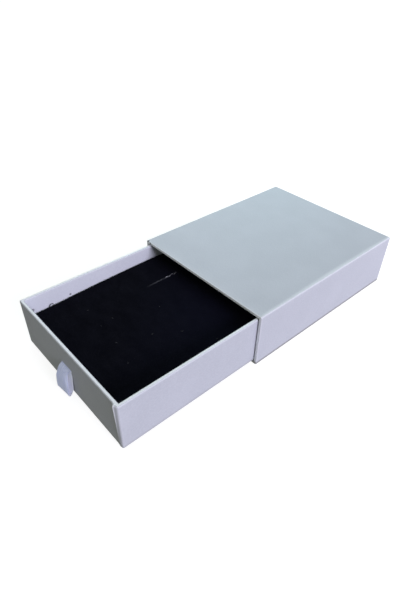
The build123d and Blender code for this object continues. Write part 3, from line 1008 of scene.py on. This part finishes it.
# x, y, length, heading, curl, radius of the fibres that catch the light
LINT = (
    (16.5, -74.2, 1.3, 20, 60, 0.10),
    (17.2, -102.1, 1.2, 100, 90, 0.09),
    (-10.3, -91.6, 0.9, 10, 30, 0.09),
    (-21.8, -97.2, 0.8, 60, 40, 0.08),
    (-1.7, -71.5, 1.0, 130, 50, 0.08),
    (10.0, -84.8, 0.9, 80, 20, 0.07),
    (30.0, -66.0, 1.0, 40, 80, 0.08),
    (-8.5, -98.0, 0.7, 160, 40, 0.07),
    (4.0, -99.0, 0.8, 15, 100, 0.07),
    (FOAM_LOW.x + 0.8, -107.6, 0.9, 80, 60, 0.16),
)
# the frayed backing along the slit's far half
FRAY = (
    (SLIT_X - 0.15, SLIT_END - 6.6, 1.5, 88, 10, 0.11),
    (SLIT_X + 0.25, SLIT_END - 4.6, 1.0, 80, 40, 0.10),
    (SLIT_X - 0.35, SLIT_END - 2.6, 1.0, 95, -30, 0.10),
    (SLIT_X + 0.35, SLIT_END - 1.6, 0.9, 60, 70, 0.10),
    (SLIT_X + 0.05, SLIT_END - 0.3, 0.7, 100, 30, 0.10),
)
# a white crumb under the sprung thread
CRUMB = ((FOAM_LOW.x + 0.25, -107.6, 0.7, 88, 10, 0.26),)


def tube(bm, sections, corners):
    """A thin closed tube through sections: middle, two directions across, radius."""
    rings = []
    for middle, first, second, radius in sections:
        turns = [2 * pi * corner / corners for corner in range(corners)]
        spokes = [first * cos(turn) + second * sin(turn) for turn in turns]
        rings.append([bm.verts.new((middle + spoke * radius) * MM) for spoke in spokes])
    for here, there in zip(rings, rings[1:]):
        for corner in range(corners):
            following = (corner + 1) % corners
            bm.faces.new((here[corner], here[following], there[following], there[corner]))
    bm.faces.new(rings[0])
    bm.faces.new(rings[-1])


def fibre(bm, x, y, length, heading, curl, radius):
    """A short curved fibre on the velvet; heading and curl are in degrees."""
    points = []
    place, angle = Vector((x, y, 0.0)), radians(heading)
    for step in range(FIBRE_STEPS + 1):
        rise = FIBRE_LIFT + FIBRE_ARCH * length * sin(pi * step / FIBRE_STEPS)
        points.append(Vector((place.x, place.y, pad_top(place.x, place.y) + rise)))
        place = place + Vector((cos(angle), sin(angle), 0.0)) * (length / FIBRE_STEPS)
        angle += radians(curl) / FIBRE_STEPS
    sections = []
    for index, (before, point, after) in enumerate(with_neighbours(points)):
        run = (after - before).normalized()
        side = run.cross(Vector((0, 0, 1))).normalized()
        taper = radius * (0.55 + 0.45 * sin(pi * (index + 0.5) / (FIBRE_STEPS + 1)))
        sections.append((point, side, side.cross(run), taper))
    tube(bm, sections, 5)


def make_edge_thread(material):
    """A thread of the backing, sprung up in a small arch at the pad's -X edge."""
    sections = []
    for step in range(THREAD_STEPS + 1):
        turn = pi * step / THREAD_STEPS
        y = THREAD_Y - THREAD_HALF_SPAN * cos(turn)
        z = pad_top(THREAD_X + 0.5, y) - 0.1 + THREAD_HEIGHT * sin(turn)
        outward = Vector((0, -cos(turn), sin(turn)))
        sections.append((Vector((THREAD_X, y, z)), outward, Vector((1, 0, 0)), THREAD_RADIUS))
    bm = bmesh.new()
    tube(bm, sections, 6)
    made = smooth_object(bm, "pad_edge_thread", material, 60.0)
    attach(made, "pad")


def make_lint(name, fibres, material):
    bm = bmesh.new()
    for x, y, length, heading, curl, radius in fibres:
        fibre(bm, x, y, length, heading, curl, radius)
    made = smooth_object(bm, name, material, 60.0)
    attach(made, "pad")


# ---- CAD nodes that stay


def dress_cad_nodes(paper, board, tape):
    """Gives each CAD node that still shows its material."""
    for name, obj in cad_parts.items():
        if obj.hide_render:
            continue
        chosen = board if name.endswith("_board") else tape if "tape" in name else paper
        obj.data.materials.clear()
        obj.data.materials.append(chosen)


# ---- stage, light and camera
FLOOR_HALF = 20.0  # metres


def pale_floor(tree):
    """A white that shows only a faint shadow."""
    tone = remap(tree, speckle(tree, object_coords(tree), 60.0), 0.3, 0.7)
    return {
        "Base Color": mix_colour(tree, tone, (0.30, 0.30, 0.30), (0.31, 0.31, 0.31)),
        "Roughness": 1.0, "Specular IOR Level": 0.0,
        "Emission Color": (1.0, 1.0, 1.0, 1.0), "Emission Strength": 0.86}


def make_floor():
    """A wide pale floor that throws no light back."""
    bm = bmesh.new()
    bmesh.ops.create_grid(bm, x_segments=2, y_segments=2, size=FLOOR_HALF)
    floor = smooth_object(bm, "stage_floor", new_material("pale_floor", pale_floor))
    floor.location.z = CAD_BOX[0][2] - 0.05 * MM
    floor.visible_diffuse = floor.visible_glossy = False


def make_lamp(name, kind, towards):
    """A lamp that shines from the direction towards."""
    made = bpy.data.objects.new(name, bpy.data.lights.new(name, kind))
    made.rotation_mode = "QUATERNION"
    made.rotation_quaternion = towards.to_track_quat("Z", "Y")
    bpy.context.scene.collection.objects.link(made)
    return made


def sun(name, towards, strength, spread):
    """A wide soft light; strength is its red, green and blue irradiance."""
    lamp = make_lamp(name, "SUN", Vector(towards)).data
    lamp.energy = max(strength)
    lamp.color = tuple(s / max(strength) for s in strength)
    lamp.angle = radians(spread)


AMBIENT_ABOVE = (0.300, 0.311, 0.275)
AMBIENT_BELOW = (0.185, 0.190, 0.168)
SIDE_LIGHT = tuple(pi * v for v in (0.750, 0.722, 0.880))
LEFT_LIGHT = tuple(pi * v for v in (0.33, 0.335, 0.36))
TOP_LIGHT = tuple(pi * v for v in (0.002, 0.020, 0.012))
# name, place, aim, colour, power in watts, size in metres
SOFT_BOXES = (
    ("back_box", (-150.0, 130.0, 190.0), (-10.0, 20.0, 28.0), (0.66, 0.98, 1.0), 0.268, 0.22),
    ("side_box", (190.0, 140.0, 70.0), (40.0, 40.0, 14.0), (0.95, 0.95, 1.0), 0.10, 0.15),
)


def soft_box(name, place, aim, colour, power, size):
    """A square soft box, near enough for its light to fall off across the object."""
    made = make_lamp(name, "AREA", Vector(place) - Vector(aim))
    made.location = Vector(place) * MM
    made.data.energy = power
    made.data.color = colour
    made.data.size = size
    return made


def ribbon_kicker(ribbon):
    """A small soft box whose light only the satin pull takes."""
    box = soft_box("ribbon_box", (-60.0, -260.0, 60.0), (0.0, -122.0, 10.0), (0.66, 0.76, 1.0), 0.030, 0.10)
    box.light_linking.receiver_collection = bpy.data.collections.new("kicker_receivers")
    box.light_linking.receiver_collection.objects.link(ribbon)


def make_world():
    """White as the camera sees it, and a soft even fill as light."""
    world = bpy.data.worlds.new("studio")
    world.use_nodes = True
    bpy.context.scene.world = world
    tree = world.node_tree
    tree.nodes.clear()
    seen = add(tree, "ShaderNodeLightPath").outputs["Is Camera Ray"]
    direction = add(tree, "ShaderNodeTexCoord").outputs["Generated"]
    above = remap(tree, parts_of(tree, direction)["Z"], -0.25, 0.25)
    tone = mix_colour(tree, above, AMBIENT_BELOW, AMBIENT_ABOVE)
    fill = add(tree, "ShaderNodeBackground", {"Color": tone})
    white = add(tree, "ShaderNodeBackground", {"Color": (1.0, 1.0, 1.0, 1.0)})
    either = add(tree, "ShaderNodeMixShader", {0: seen, 1: fill.outputs[0], 2: white.outputs[0]})
    add(tree, "ShaderNodeOutputWorld", {"Surface": either.outputs[0]})


def make_light():
    """Soft studio light, mostly from the right; key_top is hardly more than a tint."""
    sun("key_side", (0.90, 0.00, 0.40), SIDE_LIGHT, 25.0)
    sun("key_top", (0.30, 0.15, 0.94), TOP_LIGHT, 60.0)
    sun("fill_left", (-0.85, 0.52, 0.0), LEFT_LIGHT, 30.0)
    for box in SOFT_BOXES:
        soft_box(*box)
    make_world()
    bpy.context.scene.view_settings.view_transform = "Standard"


CAMERA_FROM_MOUTH = (129.97, -116.18, 153.81)
CAMERA_AZIMUTH, CAMERA_ELEVATION, CAMERA_ROLL = 47.74, 38.96, 1.223
CAMERA_LENS = 27.727  # for the default 36 mm sensor along the image's longer side


def make_camera():
    """The photograph's viewpoint, from the middle of the sleeve's mouth at its base."""
    data = bpy.data.cameras.new("camera")
    data.lens = CAMERA_LENS
    data.clip_start = 0.005
    camera = bpy.data.objects.new("camera", data)
    mouth = Vector((0, SLEEVE_LOW.y, CAD_BOX[0][2] / MM))
    camera.matrix_world = Matrix.Translation((mouth + Vector(CAMERA_FROM_MOUTH)) * MM)
    for axis, angle in (("Z", CAMERA_AZIMUTH), ("X", 90.0 - CAMERA_ELEVATION), ("Z", CAMERA_ROLL)):
        camera.matrix_world @= Matrix.Rotation(radians(angle), 4, axis)
    bpy.context.scene.collection.objects.link(camera)
    bpy.context.scene.camera = camera


# ---- build
make_camera()
make_floor()
make_light()
make_sleeve_cover(new_material("pearl_paper_sleeve", pearl_paper, 0.0, 0.95, SLEEVE_MARKS))
make_drawer_cover(new_material("pearl_paper_drawer", pearl_paper, DRAWER_LOW.z, 0.25, DRAWER_MARKS))
ribbon_kicker(make_ribbon(new_material("satin_ribbon", satin_ribbon)))
make_foam(new_material("black_foam", black_foam))
velvet = new_material("black_velvet", black_velvet)
make_velvet(velvet)
make_edge_thread(velvet)
make_lint("pad_lint", LINT, new_material("pale_lint", loose_fibres, *LINT_TONES))
make_lint("pad_crumb", CRUMB, new_material("white_crumb", loose_fibres, *CRUMB_TONES))
make_lint("pad_fray", FRAY, new_material("pale_backing", loose_fibres, *BACKING_TONES))
lining_paper = new_material("pearl_paper_lining", pearl_paper, 0.0, 0.0)
dress_cad_nodes(lining_paper, new_material("greyboard", greyboard), new_material("stay_tape", stay_tape))
